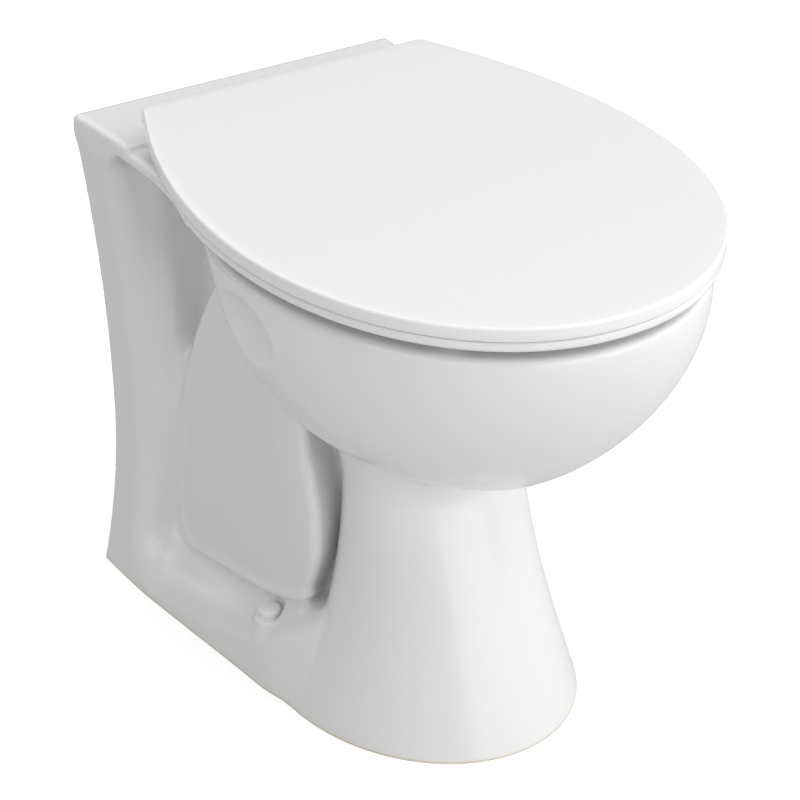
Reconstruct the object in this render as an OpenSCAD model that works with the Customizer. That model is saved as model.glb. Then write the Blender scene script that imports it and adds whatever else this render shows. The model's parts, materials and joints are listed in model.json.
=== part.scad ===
// Back to wall toilet: a one-piece ceramic pan with an open back, a hinged seat ring and lid,
// and the fixings that hold them. Distances "from the wall" run from the wall plane to the front.

/* [Overall] */
// Distance from the wall to the front of the lid
overall_depth = 527; // [500:1:560]
// Height of the rim above the floor
rim_h = 397; // [385:1:420]
// Rise of the shelf behind the seat above the rim
shelf_rise = 4; // [2:0.5:8]
// Distance from the wall to the step in front of the shelf
shelf_depth = 76; // [72:1:90]
// Width of the pad under the seat posts
shelf_pad_w = 210; // [200:1:216]
// How much further from the wall that pad reaches than the shelf
shelf_pad_reach = 16; // [14:1:20]
// Thickness of the shelf and the rim's outer edge
shelf_thick = 9; // [7:0.5:14]

/* [Wall frame] */
// Width of the frame at the top
frame_top_w = 284; // [260:1:310]
// Width of the frame at its waist
frame_waist_w = 240; // [225:1:260]
// Width of the frame at the floor
frame_foot_w = 271; // [250:1:290]
// Height of the waist above the floor
frame_waist_h = 135; // [110:1:160]
// Depth of the frame from the wall
frame_depth = 58; // [54:1:60]
// Rounding of the frame's front edges
frame_round = 16; // [8:1:20]
// Wall thickness of the ceramic
wall = 11; // [9:0.5:12]

/* [Bowl] */
// Width of the bowl at the rim
bowl_w = 339; // [320:1:352]
// Distance from the wall to the front of the bowl
bowl_front = 520; // [505:1:524]
// Distance from the wall to the widest place of the rim
bowl_widest = 300; // [280:1:320]
// Distance from the wall to the back of the round bowl at the rim
bowl_rear = 127; // [115:1:140]
// Height of the bowl's underside above the floor
bowl_bottom_h = 225.5; // [220:0.5:235]
// How far the front of the bowl draws back towards its underside
bowl_front_draw = 146.5; // [130:0.5:165]
// Width of the opening in the rim
opening_w = 250; // [244:1:260]
// Distance from the wall to the back of the opening
opening_rear = 174; // [170:1:180]
// Distance from the wall to the front of the opening
opening_front = 480; // [470:1:484]
// Height of the rim's inner lip below the rim's top plate
lip_h = 22; // [16:1:28]
// Thickness of the rim's inner lip
lip_thick = 9; // [7:0.5:10]

/* [Pedestal] */
// Width of the pedestal at its neck
neck_w = 140; // [134:1:156]
// Distance from the wall to the front of the neck
neck_front = 345; // [340:1:360]
// Distance from the wall to the back of the neck
neck_rear = 237; // [225:1:242]
// Height of the neck above the floor
neck_h = 188; // [175:1:200]
// Width of the pedestal at the floor
base_w = 230; // [215:1:240]
// Distance from the wall to the front of the pedestal at the floor
base_front = 410; // [395:1:430]
// Distance from the wall to the back of the pedestal at the floor
base_rear = 205; // [195:1:220]
// Distance from the wall to the widest place of the neck
neck_widest = 291; // [285:1:300]
// Distance from the wall to the widest place of the pedestal at the floor
base_widest = 268; // [260:1:280]

/* [Trapway casing and feet] */
// Width of the flat-sided casing round the trapway
casing_w = 176; // [170:1:184]
// Distance from the wall to the casing's back edge near the floor
casing_rear = 52; // [46:1:56]
// How far the casing's back edge leans forward at the top
casing_lean = 78; // [70:1:95]
// Distance from the wall to where the casing's sides begin to turn in
casing_turn = 230; // [226:1:240]
// Distance from the wall to the casing's front corners
casing_front = 256; // [250:1:260]
// Width of the casing across its front corners
casing_front_w = 168; // [160:1:172]
// Width of the casing where its front face meets the pedestal
casing_neck_w = 92; // [84:1:100]
// Height of the casing above the floor
casing_h = 300; // [285:1:315]
// Width of the core behind the casing at the top
core_top_w = 96; // [92:1:104]
// Width of the core behind the casing at the floor
core_foot_w = 128; // [120:1:136]
// Height of the feet's outer edge at the wall
foot_edge_h = 18; // [14:1:24]
// Extra height of the feet's outer edge beside the fixing screws
foot_edge_rise = 27; // [20:1:34]
// Narrowing of the feet on each side for each millimetre from the wall
foot_taper = 0.087; // [0.06:0.001:0.11]
// Slope of the feet's top face beside the pedestal
foot_slope = 0.42; // [0.3:0.01:0.6]

/* [Waterways] */
// Radius of the outlet spigot
spigot_r = 51; // [50:0.5:52]
// Radius of the way through the spigot
spigot_bore_r = 43; // [40:0.5:44]
// Height of the outlet above the floor
outlet_h = 185; // [178:1:192]
// Distance from the wall to the end of the spigot
spigot_end = 6; // [2:1:15]
// Radius of the trapway
trap_r = 27; // [25:0.5:28]
// Thickness of the trapway's wall
trap_wall = 8; // [7:0.5:9]
// Height of the trapway where it leaves the sump
dip_h = 128; // [124:1:132]
// Radius of the trapway's bends
trap_bend_r = 32; // [30:1:34]
// Height of the trapway at its weir
weir_h = 246; // [244:1:248]
// Distance from the wall to the weir
weir_d = 140; // [138:1:142]
// Length of the wide bore in the spigot
spigot_bore_len = 62; // [58:1:66]
// Width of the sump
sump_w = 112; // [106:1:114]
// Distance from the wall to the back of the sump
sump_rear = 246; // [245:1:252]
// Distance from the wall to the front of the sump
sump_front = 330; // [324:1:332]
// Height of the flush inlet above the floor
inlet_h = 343; // [338:1:348]
// Radius of the flush inlet's socket
inlet_socket_r = 27.5; // [26:0.5:29]
// Depth of the flush inlet's socket
inlet_socket_depth = 38; // [30:1:42]
// Distance from the wall to the mouth of the flush inlet
inlet_mouth = 20; // [12:1:24]
// Radius of the flush way behind the socket
flush_way_r = 13; // [10:0.5:14]
// Radius of the hole in the inlet seal
seal_bore_r = 19; // [18.5:0.1:20]
// Length of the inlet seal inside its socket
seal_len = 26; // [20:1:30]
// Width and thickness of the inlet seal's flange
seal_flange = 3; // [2:0.5:4]

/* [Seat and lid] */
// Width of the lid
lid_w = 356; // [345:1:365]
// Distance from the wall to the widest place of the lid
lid_widest = 297; // [285:1:310]
// Distance from the wall to the lid's back edge
lid_rear = 78.5; // [78.5:0.5:80]
// How much the lid narrows on each side towards its back
lid_flank_drop = 43; // [38:1:50]
// Radius of the lid's back corners
lid_corner_r = 9; // [6:1:14]
// Thickness of the lid at its edge
lid_thick = 10.3; // [8:0.1:11]
// Thickness of the lid inside its edge
lid_plate = 5.5; // [4:0.5:6]
// Width of the lid's edge lip
lid_lip = 5; // [3:0.5:8]
// Gap between the lid and the seat
lid_gap = 1.2; // [0.8:0.1:2]
// Thickness of the seat ring
seat_thick = 9; // [8:0.5:11]
// How far the seat's edge lies inside the lid's edge
seat_inset = 1.5; // [0.5:0.5:4]
// Distance from the wall to the seat's back edge
seat_rear = 82; // [81:0.5:86]
// Length of the seat's round back half, if it weren't cut straight
seat_round = 222; // [218:1:230]
// Width of the hole in the seat
seat_hole_w = 220; // [210:1:228]
// Distance from the wall to the back of the seat's hole
seat_hole_rear = 186; // [182:1:192]
// Distance from the wall to the front of the seat's hole
seat_hole_front = 452; // [445:1:458]
// Rounding of the seat's and the lid's edges
edge_round = 2.2; // [1:0.1:3]
// Slope of the seat and lid down towards the front, in degrees
seat_slope = 0.8; // [0.6:0.05:1]

/* [Hinges] */
// Distance from the wall to the hinge line
hinge_d = 72; // [71.5:0.5:72]
// Height of the hinge line above the shelf
hinge_rise = 19.7; // [19.5:0.1:21]
// Distance between the two seat fixing holes
hinge_centres = 155; // [145:1:165]
// Radius of the hinge pins
pin_r = 2.5; // [2:0.1:3]
// Running clearance round the hinge pins
pin_clearance = 0.05; // [0.02:0.01:0.09]
// Radius of the hinge eyes and lugs
eye_r = 6; // [5.5:0.1:6]
// Width of each post's eye
post_eye_w = 14; // [12:0.5:16]
// Width of the seat's and the lid's lugs
lug_w = 9; // [7:0.5:11]
// Side clearance between eyes and lugs
eye_gap = 0.5; // [0.3:0.1:1]
// Thickness of the posts' upright, front to back
post_depth = 10; // [8:0.5:10]
// Radius of the posts' foot
post_foot_r = 15; // [13:0.5:16]
// Height of the posts' foot
post_foot_h = 5.4; // [5:0.1:6]
// Thickness of the gasket under each post
gasket_thick = 1.5; // [1:0.1:2]
// Radius of the seat fixing bolts
bolt_r = 4; // [3:0.5:4.5]
// Width across the flats of the bolts' heads
bolt_head_w = 13; // [11:0.5:14]
// Height of the bolts' heads
bolt_head_h = 3.5; // [3:0.1:4]
// Length of the bolts under their heads
bolt_len = 52; // [48:1:58]
// Radius of the seat fixing holes in the shelf
fixing_hole_r = 8; // [7.5:0.5:9]
// Radius of the bushes, washers and nuts under the shelf
nut_r = 11.5; // [10:0.5:12]
// Height of the cone bush below the shelf
bush_h = 7; // [5:0.5:9]
// Thickness of the washers
washer_thick = 2; // [1.5:0.5:3]
// Height of the wing nuts' hub
nut_h = 11; // [9:0.5:13]
// Span of the wing nuts
wing_span = 34; // [28:1:36]
// Clearance between parts that touch at rest
rest_gap = 0.3; // [0.2:0.05:0.5]

/* [Buffers] */
// Radius of the seat's buffers
buffer_r = 8; // [6:0.5:10]
// Distance of the rear pair of seat buffers from the wall
buffer_rear_d = 140; // [135:1:155]
// Half distance between the rear pair of seat buffers
buffer_rear_x = 112; // [104:1:114]
// Distance of the front pair of seat buffers from the wall
buffer_front_d = 455; // [440:1:465]
// Half distance between the front pair of seat buffers
buffer_front_x = 96; // [92:1:100]
// Radius of the lid's buffers
lid_buffer_r = 5; // [4:0.5:6]

/* [Floor fixings] */
// Distance of the floor fixing holes from the wall
floor_hole_d = 213; // [208:1:218]
// Distance between the two floor fixing holes
floor_hole_centres = 202; // [198:1:206]
// Radius of the floor fixing holes
floor_hole_r = 4.5; // [4:0.5:5.5]
// Radius of the boss round each hole
spot_r = 12; // [11:0.5:13]
// Height of that boss above the floor
spot_h = 50; // [48:0.5:52]
// Radius of the cap base
cap_base_r = 10.5; // [9:0.5:11]
// Height of the cap base
cap_base_h = 2.5; // [2:0.5:4]
// Radius of the screw caps
cap_r = 9; // [8:0.5:9.5]
// Height of the screw caps above their base
cap_h = 5.5; // [4:0.5:7]
// Wall thickness of the screw caps
cap_wall = 1.2; // [1:0.1:1.5]

/* [Hidden] */
$fn = 48;

ceramic = [0.93, 0.93, 0.92];
white_plastic = [0.95, 0.95, 0.95];
pale_plastic = [0.86, 0.86, 0.85];
grey_rubber = [0.45, 0.45, 0.44];
steel = [0.72, 0.72, 0.72];

shelf_top = rim_h + shelf_rise;
slab_z = rim_h - shelf_thick;
axis_z = shelf_top + hinge_rise;
lid_top = axis_z + lid_thick + 1;
lid_z = lid_top - lid_thick;
seat_top = lid_z - lid_gap;
seat_z = seat_top - seat_thick;
bush_z = slab_z - bush_h;
washer_z = bush_z - washer_thick;
nut_z = washer_z - nut_h;
post_z = shelf_top + gasket_thick;
bolt_head_z = post_z + rest_gap;
ring_n = 40;
past = 1;

// ---- Shapes -------------------------------------------------------------------------------

function lerp(a, b, t) = a + (b - a) * t;
function clamp01(t) = min(max(t, 0), 1);
function mirrored(half) = concat(half, [for (i = [len(half) - 1 : -1 : 0]) [-half[i][0], half[i][1]]]);
function centre_of(ring) = [for (k = [0 : 2]) [for (p = ring) p[k]] * [for (p = ring) 1 / len(ring)]];

// A closed skin through rings of equally many points, with both ends closed from their centres;
// seen from the last ring, the points run clockwise
module loft(rings) {
  n = len(rings[0]);
  m = len(rings);
  points = concat([for (r = rings) for (p = r) p], [centre_of(rings[0]), centre_of(rings[m - 1])]);
  sides = [for (j = [0 : m - 2], i = [0 : n - 1])
    let (a = j * n + i, b = j * n + (i + 1) % n) each [[a, b, b + n], [a, b + n, a + n]]];
  ends = [for (i = [0 : n - 1]) each [
    [m * n, (i + 1) % n, i],
    [m * n + 1, (m - 1) * n + i, (m - 1) * n + (i + 1) % n]]];
  polyhedron(points, concat(sides, ends), convexity = 6);
}

// A closed skin through rings that go round a hole and meet again
module ring_loft(rings) {
  n = len(rings[0]);
  m = len(rings);
  faces = [for (j = [0 : m - 1], i = [0 : n - 1])
    let (k = (j + 1) % m, a = j * n + i, b = j * n + (i + 1) % n, c = k * n + (i + 1) % n, d = k * n + i)
    each [[a, b, c], [a, c, d]]];
  polyhedron([for (r = rings) for (p = r) p], faces, convexity = 8);
}

// Egg-shaped outline: [half width, back, widest place, front], all but the first from the wall
squareness = 2 / 2.08;
function egg_x(e, s) = e[0] * pow(sin(180 * s), squareness);
function egg_d(e, s) = s < 0.5
  ? e[2] - (e[2] - e[1]) * pow(cos(180 * s), squareness)
  : e[2] + (e[3] - e[2]) * pow(-cos(180 * s), squareness);
function egg(e, z) = [for (i = [0 : ring_n - 1])
  let (s = i / ring_n * 2, t = s <= 1 ? s : 2 - s, side = s <= 1 ? 1 : -1)
  [side * egg_x(e, t), -egg_d(e, t), z]];

// Puts what is measured from the wall into the part's own frame, centred on the floor
module from_wall() translate([0, overall_depth / 2, 0]) children();
// Extrudes an outline of [x, height] points from one distance from the wall to another
module along_depth(d0, d1) translate([0, -d0, 0]) rotate([90, 0, 0]) linear_extrude(d1 - d0) children();
// Extrudes an outline of [distance from the wall, height] points across the width
module across(w) translate([-w / 2, 0, 0]) rotate([90, 0, 90]) linear_extrude(w) mirror([1, 0]) children();
// A round bar across the width
module cross_bar(r, x0, x1) translate([x0, 0, 0]) rotate([0, 90, 0]) cylinder(r = r, h = x1 - x0);
// A round bar from one [distance, height] to another, in the middle plane
module sloping_bar(r, a, b) {
  run = b[0] - a[0];
  rise = b[1] - a[1];
  translate([0, -a[0], a[1]]) rotate([atan2(run, rise), 0, 0]) cylinder(r = r, h = norm([run, rise]));
}

// ---- Pan ----------------------------------------------------------------------------------

function frame_half(z) = z < frame_waist_h
  ? lerp(frame_waist_w, frame_foot_w, pow(1 - z / frame_waist_h, 2)) / 2
  : lerp(frame_waist_w, frame_top_w, pow((z - frame_waist_h) / (rim_h - frame_waist_h), 1.85)) / 2;
frame_steps = 12;
function frame_outline(inset, z0, z1) = mirrored(
  [for (i = [0 : frame_steps]) let (z = lerp(z0, z1, i / frame_steps)) [frame_half(z) - inset, z]]);

function pedestal_egg(z, inset) =
  let (g = pow(clamp01(1 - z / neck_h), 1.25), up = pow(max(z - neck_h, 0) / 60, 2))
  [lerp(neck_w, base_w, g) / 2 + 14 * up - inset, lerp(neck_rear, base_rear, g) - 10 * up + inset,
   lerp(neck_widest, base_widest, g), lerp(neck_front, base_front, g) + 20 * up - inset];

function bowl_egg(z) =
  let (t = clamp01((z - bowl_bottom_h) / (rim_h - 5 - bowl_bottom_h)), q = pow(1 - pow(1 - t, 2.44), 0.536))
  [bowl_w / 2 * q, lerp(neck_widest + 2, bowl_rear, pow(t, 0.668)),
   bowl_widest + 21 * sqrt(1 - t), bowl_front - bowl_front_draw * pow(1 - q, 0.695)];

// The bowl's inside is its outside moved up and inwards; below it lies the sump
shift = wall * 0.8;
sump_mid = (sump_rear + sump_front) / 2;
function inside_egg(z) =
  let (o = bowl_egg(z - shift), blend = clamp01((z - bowl_bottom_h - shift) / 20))
  [max(sump_w / 2, o[0] - shift), min(sump_rear, o[1] + shift), lerp(sump_mid, o[2], blend),
   blend > 0 ? max(sump_front, o[3] - shift) : sump_front];
function opening_egg(grow) = [opening_w / 2 + grow, opening_rear - grow, bowl_widest, opening_front + grow];

function foot_half(d) = frame_foot_w / 2 - (d - frame_depth) * foot_taper;
function foot_edge(d) = foot_edge_h + foot_edge_rise * pow(d / 215, 2.2);
function foot_section(d, inset) =
  let (w = foot_half(d) - inset, z = foot_edge(d) - inset, lean = 4, inner = casing_w / 2 - wall,
       slope = foot_slope * clamp01((d - 40) / 220))
  [for (p = mirrored([
      [w, inset > 0 ? -past : 0],
      [w - lean, z],
      [inner, z + (w - lean - inner) * slope]]))
    [p[0], -d, p[1]]];

// Side view of the trapway casing up to a front edge; inset draws it in for the hollow inside it
function casing_edge(z) = casing_rear + casing_lean * pow(max(z - 60, 0) / (casing_h - 66), 2.2);
casing_steps = 8;
function casing_outline(inset, front) =
  let (floor_z = inset > 0 ? -past : 0)
  concat(
    [[casing_edge(0) + inset, floor_z]],
    [for (i = [1 : casing_steps]) let (z = casing_h * i / casing_steps) [casing_edge(z) + inset, z - inset]],
    [[front, casing_h - inset], [front, floor_z]]);

module pan_body() {
  along_depth(0, frame_depth - frame_round) polygon(frame_outline(0, 0, rim_h));
  loft([for (a = [90 : -22.5 : 0])
    let (d = frame_depth - frame_round * (1 - sin(a)), inset = frame_round * (1 - cos(a)))
    [for (p = frame_outline(inset, 0, rim_h)) [p[0], -d, p[1]]]]);
  translate([0, 0, slab_z]) linear_extrude(shelf_thick) polygon(mirrored(
    [[frame_top_w / 2, 0], [frame_top_w / 2 - 3, -frame_depth], [frame_top_w / 2 - 5, -110],
     [frame_top_w / 2 - 2, -140], [frame_top_w / 2 + 6, -175], [frame_top_w / 2 + 12, -205]]));
  translate([0, 0, slab_z]) linear_extrude(shelf_thick + shelf_rise) polygon(mirrored(
    [[frame_top_w / 2 - 1, 0], [frame_top_w / 2 - 5, -shelf_depth], [shelf_pad_w / 2, -shelf_depth],
     [shelf_pad_w / 2 - 6, -shelf_depth - shelf_pad_reach]]));
  along_depth(frame_depth - wall, neck_rear + 4) polygon(mirrored([
    [core_foot_w / 2, 0],
    [core_foot_w / 2, 150],
    [core_top_w / 2, rim_h - 60],
    [core_top_w / 2, slab_z + past]]));
  intersection() {
    across(casing_w) polygon(casing_outline(0, casing_front + 4));
    linear_extrude(casing_h + past) polygon(mirrored([
      [casing_w / 2, 0],
      [casing_w / 2, -casing_turn],
      [casing_front_w / 2, -casing_front],
      [casing_neck_w / 2, -casing_front - 4]]));
  }
  loft([for (d = [280, 262, 230, 195, 160, 125, 90, frame_depth - frame_round]) foot_section(d, 0)]);
  loft([for (t = [0, 0.06, 0.15, 0.27, 0.43, 0.64, 0.82, 1, 1.09, 1.2, 1.3])
    let (z = neck_h * t) egg(pedestal_egg(z, 0), z)]);
}

module floor_bosses() for (side = [-1, 1])
  translate([side * floor_hole_centres / 2, -floor_hole_d, foot_edge_h])
    cylinder(r = spot_r, h = spot_h - foot_edge_h);

module pan_hollows() {
  // open back behind the frame
  along_depth(-past, frame_depth - wall) polygon(frame_outline(wall, -past, slab_z - wall));
  // open space round the trapway
  across(casing_w - 2 * wall) polygon(casing_outline(wall, sump_rear - wall));
  // open underside of the feet and of the pedestal
  foot_end = base_rear - 2 * wall;
  loft([for (t = [1, 0.7, 0.4, 0]) let (d = lerp(frame_depth, foot_end, t)) foot_section(d, wall)]);
  under = dip_h - trap_r - 2 * wall;
  loft([for (t = [-past / under, 0.34, 0.66, 1]) let (z = under * t) egg(pedestal_egg(max(z, 0), wall), z)]);
}

module bowl_skin() loft(concat(
  [for (t = [0.003, 0.018, 0.049, 0.092, 0.16, 0.258, 0.38, 0.528, 0.687, 0.847])
    let (z = lerp(bowl_bottom_h, rim_h - 5, t)) egg(bowl_egg(z), z)],
  [egg(bowl_egg(rim_h), rim_h)]));

// The water's way from the sump over the weir to the outlet, as [distance, height, heading] stations
climb = 108;
fall = 225;
climb_d = weir_d + 2 * trap_bend_r * sin(climb)
  - (weir_h - dip_h - 2 * trap_bend_r * (1 + cos(climb))) * cos(climb) / sin(climb);
outlet_d = weir_d - (weir_h - outlet_h) - trap_bend_r * 2 * (sqrt(2) - 1);
function on_arc(centre_d, centre_z, heading, turn) =
  [centre_d + turn * trap_bend_r * sin(heading), centre_z - turn * trap_bend_r * cos(heading), heading];
trap_path = concat(
  [[sump_mid, dip_h, 180]],
  [for (k = [0 : 4]) on_arc(climb_d, dip_h + trap_bend_r, lerp(180, climb, k / 4), -1)],
  [for (k = [0 : 6]) on_arc(weir_d, weir_h - trap_bend_r, lerp(climb, fall, k / 6), 1)],
  [for (k = [0 : 3]) on_arc(outlet_d, outlet_h + trap_bend_r, lerp(fall, 180, k / 3), -1)]);
trap_sides = 16;
module trapway(r) loft([for (s = trap_path)
  [for (i = [0 : trap_sides - 1]) let (a = 360 * (i + 0.5) / trap_sides)
    [r * cos(a), -s[0] - r * sin(a) * sin(s[2]), s[1] - r * sin(a) * cos(s[2])]]]);

module pan_ways() {
  trapway(trap_r);
  translate([0, past, outlet_h]) rotate([90, 0, 0]) cylinder(r = spigot_bore_r, h = spigot_bore_len + past);
  // bowl and sump
  loft(concat(
    [for (k = [0.9, 0.75, 0.45, 0]) let (s = sqrt(1 - k * k), e = inside_egg(dip_h))
      egg([e[0] * s, e[2] - (e[2] - e[1]) * s, e[2], e[2] + (e[3] - e[2]) * s], dip_h - k * trap_r)],
    [for (t = [0.3, 0.68]) let (z = lerp(dip_h, bowl_bottom_h, t)) egg(inside_egg(z), z)],
    [for (t = [0.045, 0.07, 0.108, 0.166, 0.248, 0.363, 0.503, 0.669, 0.834, 1])
      let (z = lerp(bowl_bottom_h, rim_h - wall, t)) egg(inside_egg(z), z)]));
  translate([0, 0, rim_h - wall - past]) loft([egg(opening_egg(0), 0), egg(opening_egg(0), wall + 2 * past)]);
  // flush inlet
  socket_end = inlet_mouth + inlet_socket_depth;
  translate([0, past, inlet_h]) rotate([90, 0, 0]) cylinder(r = inlet_socket_r, h = socket_end + past);
  sloping_bar(flush_way_r, [socket_end - 8, inlet_h], [opening_rear, rim_h - wall - flush_way_r]);
  // seat fixing holes and floor fixing holes
  for (side = [-1, 1]) {
    translate([side * hinge_centres / 2, -hinge_d, slab_z - past])
      cylinder(r = fixing_hole_r, h = shelf_top - slab_z + 2 * past);
    translate([side * floor_hole_centres / 2, -floor_hole_d, 0]) {
      translate([0, 0, -past]) cylinder(r = floor_hole_r, h = spot_h + 2 * past);
      translate([0, 0, spot_h]) cylinder(r = spot_r + 0.5, h = 40);
    }
  }
}

module rim_lip() translate([0, 0, rim_h - wall - lip_h]) difference() {
  loft([egg(opening_egg(lip_thick), 0), egg(opening_egg(lip_thick), lip_h + 0.5)]);
  translate([0, 0, -past]) loft([egg(opening_egg(0), 0), egg(opening_egg(0), lip_h + 2 * past)]);
}

module pan() color(ceramic) from_wall() union() {
  difference() {
    union() {
      difference() {
        pan_body();
        pan_hollows();
      }
      bowl_skin();
      floor_bosses();
      trapway(trap_r + trap_wall);
      translate([0, -spigot_end, outlet_h]) rotate([90, 0, 0])
        cylinder(r = spigot_r, h = spigot_bore_len + trap_wall - spigot_end);
      translate([0, -inlet_mouth, inlet_h]) rotate([90, 0, 0])
        cylinder(r = inlet_socket_r + wall - 2, h = frame_depth - inlet_mouth);
    }
    pan_ways();
  }
  rim_lip();
}

// ---- Seat and lid -------------------------------------------------------------------------

// Turns the closed seat and lid about the hinge line, so that they slope down to the front
module on_slope() from_wall() translate([0, -hinge_d, axis_z]) rotate([seat_slope, 0, 0])
  translate([0, hinge_d, -axis_z]) children();

nose_drop = (lid_thick + 1 - edge_round) * sin(seat_slope);
lid_nose = hinge_d + (overall_depth - hinge_d - nose_drop) / cos(seat_slope);
flank_run = 190;
// Half width of the lid or, where seat is true, of the rounder seat under it
function lid_half(d, inset, seat) = d > lid_widest
  ? let (t = (d - lid_widest) / (lid_nose - inset - lid_widest))
    (lid_w / 2 - inset) * pow(max(0, 1 - pow(t, 2.08)), 1 / 2.08)
  : seat
    ? (lid_w / 2 - inset) * pow(1 - pow((lid_widest - d) / seat_round, 2.2), 1 / 2.2)
    : lid_w / 2 - inset - lid_flank_drop * pow((lid_widest - d) / flank_run, 1.9);
front_n = 18;
flank_n = 9;
corner_n = 4;
// Half outline of the lid or, with an inset and its own back edge, of the seat
function lid_outline_half(inset, rear, seat) =
  let (r = lid_corner_r, w = lid_half(rear + r, inset, seat))
  concat(
    [[0, -rear]],
    [for (i = [0 : corner_n]) let (a = 90 * i / corner_n) [w - r + r * sin(a), -(rear + r - r * cos(a))]],
    [for (i = [1 : flank_n]) let (d = lerp(rear + r, lid_widest, i / flank_n))
      [lid_half(d, inset, seat), -d]],
    [for (i = [1 : front_n]) let (d = lid_widest + (lid_nose - inset - lid_widest) * sin(90 * i / front_n))
      [i == front_n ? 0 : lid_half(d, inset, seat), -d]]);
function closed_outline(half) = let (n = len(half))
  concat(half, [for (i = [n - 2 : -1 : 1]) [-half[i][0], half[i][1]]]);
function lid_ring(inset, rear, z, seat = false) =
  [for (p = closed_outline(lid_outline_half(inset, rear, seat))) [p[0], p[1], z]];

// Each lug reaches from the hinge line to the body it belongs to
module lug(x0, z0, z1, reach) {
  translate([0, -hinge_d, axis_z]) cross_bar(eye_r, x0, x0 + lug_w);
  translate([x0, -hinge_d - reach, z0]) cube([lug_w, reach, z1 - z0]);
}
module pin_hole(x0, x1) translate([0, -hinge_d, axis_z]) cross_bar(pin_r + pin_clearance, x0, x1);

seat_lug_x = hinge_centres / 2 - post_eye_w / 2 - eye_gap - lug_w;
lid_lug_x = hinge_centres / 2 + post_eye_w / 2 + eye_gap;

module both_sides(x) for (side = [0, 1]) mirror([side, 0, 0]) translate([x, 0, 0]) children();

module seat_ring() color(white_plastic) on_slope() difference() {
  union() {
    e = edge_round;
    n = len(lid_ring(0, seat_rear, 0));
    hole = function (grow, z)
      let (h = [seat_hole_w / 2 + grow, seat_hole_rear - grow, lid_widest, seat_hole_front + grow])
      [for (i = [0 : n - 1]) let (s = i / n * 2, t = s <= 1 ? s : 2 - s, side = s <= 1 ? 1 : -1)
        [side * egg_x(h, t), -egg_d(h, t), z]];
    outer = function (inset, z) lid_ring(seat_inset + inset, seat_rear + inset, z, seat = true);
    ring_loft([
      outer(e / 2, seat_z), outer(0, seat_z + e / 2), outer(0, seat_top - e),
      outer(e * 0.3, seat_top - e * 0.3), outer(e, seat_top),
      hole(e * 2, seat_top), hole(e * 0.6, seat_top - e * 0.6), hole(0, seat_top - e * 2),
      hole(0, seat_z + e / 2), hole(e / 2, seat_z)]);
    both_sides(0) lug(seat_lug_x, axis_z - eye_r, seat_top - 0.4, 34);
  }
  both_sides(0) pin_hole(seat_lug_x - past, seat_lug_x + lug_w + past);
}

module lid() color(white_plastic) on_slope() difference() {
  union() {
    e = edge_round;
    loft([
      lid_ring(lid_lip + 1, lid_rear + lid_lip + 14, lid_top - lid_plate),
      lid_ring(lid_lip, lid_rear + lid_lip + 13, lid_z),
      lid_ring(e / 2, lid_rear + e / 2, lid_z),
      lid_ring(0, lid_rear, lid_z + e / 2),
      lid_ring(0, lid_rear, lid_top - e),
      lid_ring(e * 0.3, lid_rear + e * 0.3, lid_top - e * 0.3), lid_ring(e, lid_rear + e, lid_top)]);
    both_sides(0) lug(lid_lug_x, lid_z - 0.5, axis_z + eye_r, 22);
  }
  both_sides(0) pin_hole(lid_lug_x - past, lid_lug_x + lug_w + past);
}

module buffer(x, d, z0, z1, r) both_sides(x) translate([0, -d, z0]) cylinder(r = r, h = z1 - z0);
// Height on the slope at which a buffer's foot meets a level plane at a distance from the wall
function on_plane(z, d) = axis_z + (z - axis_z + (d - hinge_d) * sin(seat_slope)) / cos(seat_slope);

module seat_buffers_front() color(pale_plastic) on_slope()
  buffer(buffer_front_x, buffer_front_d, on_plane(rim_h, buffer_front_d) + rest_gap, seat_z, buffer_r);
module seat_buffers_rear() color(pale_plastic) on_slope()
  buffer(buffer_rear_x, buffer_rear_d, on_plane(rim_h, buffer_rear_d) + rest_gap, seat_z, buffer_r);
module lid_buffers() color(pale_plastic) on_slope() {
  buffer(buffer_rear_x, buffer_rear_d, seat_top + rest_gap, lid_top - lid_plate, lid_buffer_r);
  buffer(buffer_front_x + 12, buffer_front_d - 20, seat_top + rest_gap, lid_top - lid_plate, lid_buffer_r);
}

// ---- Hinges and seat fixings --------------------------------------------------------------

module at_post(side) from_wall() translate([side * hinge_centres / 2, -hinge_d, 0]) children();

module hinge_post(side) color(white_plastic) at_post(side) difference() {
  union() {
    translate([0, 0, post_z]) cylinder(r = post_foot_r, h = post_foot_h);
    translate([-post_eye_w / 2, -post_depth / 2, post_z]) cube([post_eye_w, post_depth, axis_z - post_z]);
    translate([0, 0, axis_z]) cross_bar(eye_r, -post_eye_w / 2, post_eye_w / 2);
  }
  translate([0, 0, axis_z]) cross_bar(pin_r + pin_clearance, -post_eye_w, post_eye_w);
  translate([0, 0, post_z - past])
    cylinder(r = bolt_head_w / sqrt(3) + rest_gap, h = bolt_head_h + 2 * rest_gap + past, $fn = 6);
}

module hinge_pin(side) color(steel) at_post(side) translate([0, 0, axis_z]) {
  inner = post_eye_w / 2 + eye_gap + lug_w;
  cross_bar(pin_r, -inner - 1, inner + 1);
  for (end = [-1, 1]) translate([end * (inner + 1), 0, 0]) cross_bar(pin_r + 1.2, -0.7, 0.7);
}

module post_gasket(side) color(grey_rubber) at_post(side) translate([0, 0, shelf_top]) difference() {
  cylinder(r = post_foot_r - 0.5, h = gasket_thick);
  translate([0, 0, -past]) cylinder(r = bolt_r + 0.5, h = gasket_thick + 2 * past);
}

module fixing_bolt(side) color(steel) at_post(side) {
  translate([0, 0, bolt_head_z]) cylinder(r = bolt_head_w / sqrt(3), h = bolt_head_h, $fn = 6);
  translate([0, 0, bolt_head_z - bolt_len]) cylinder(r = bolt_r, h = bolt_len);
}

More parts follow.
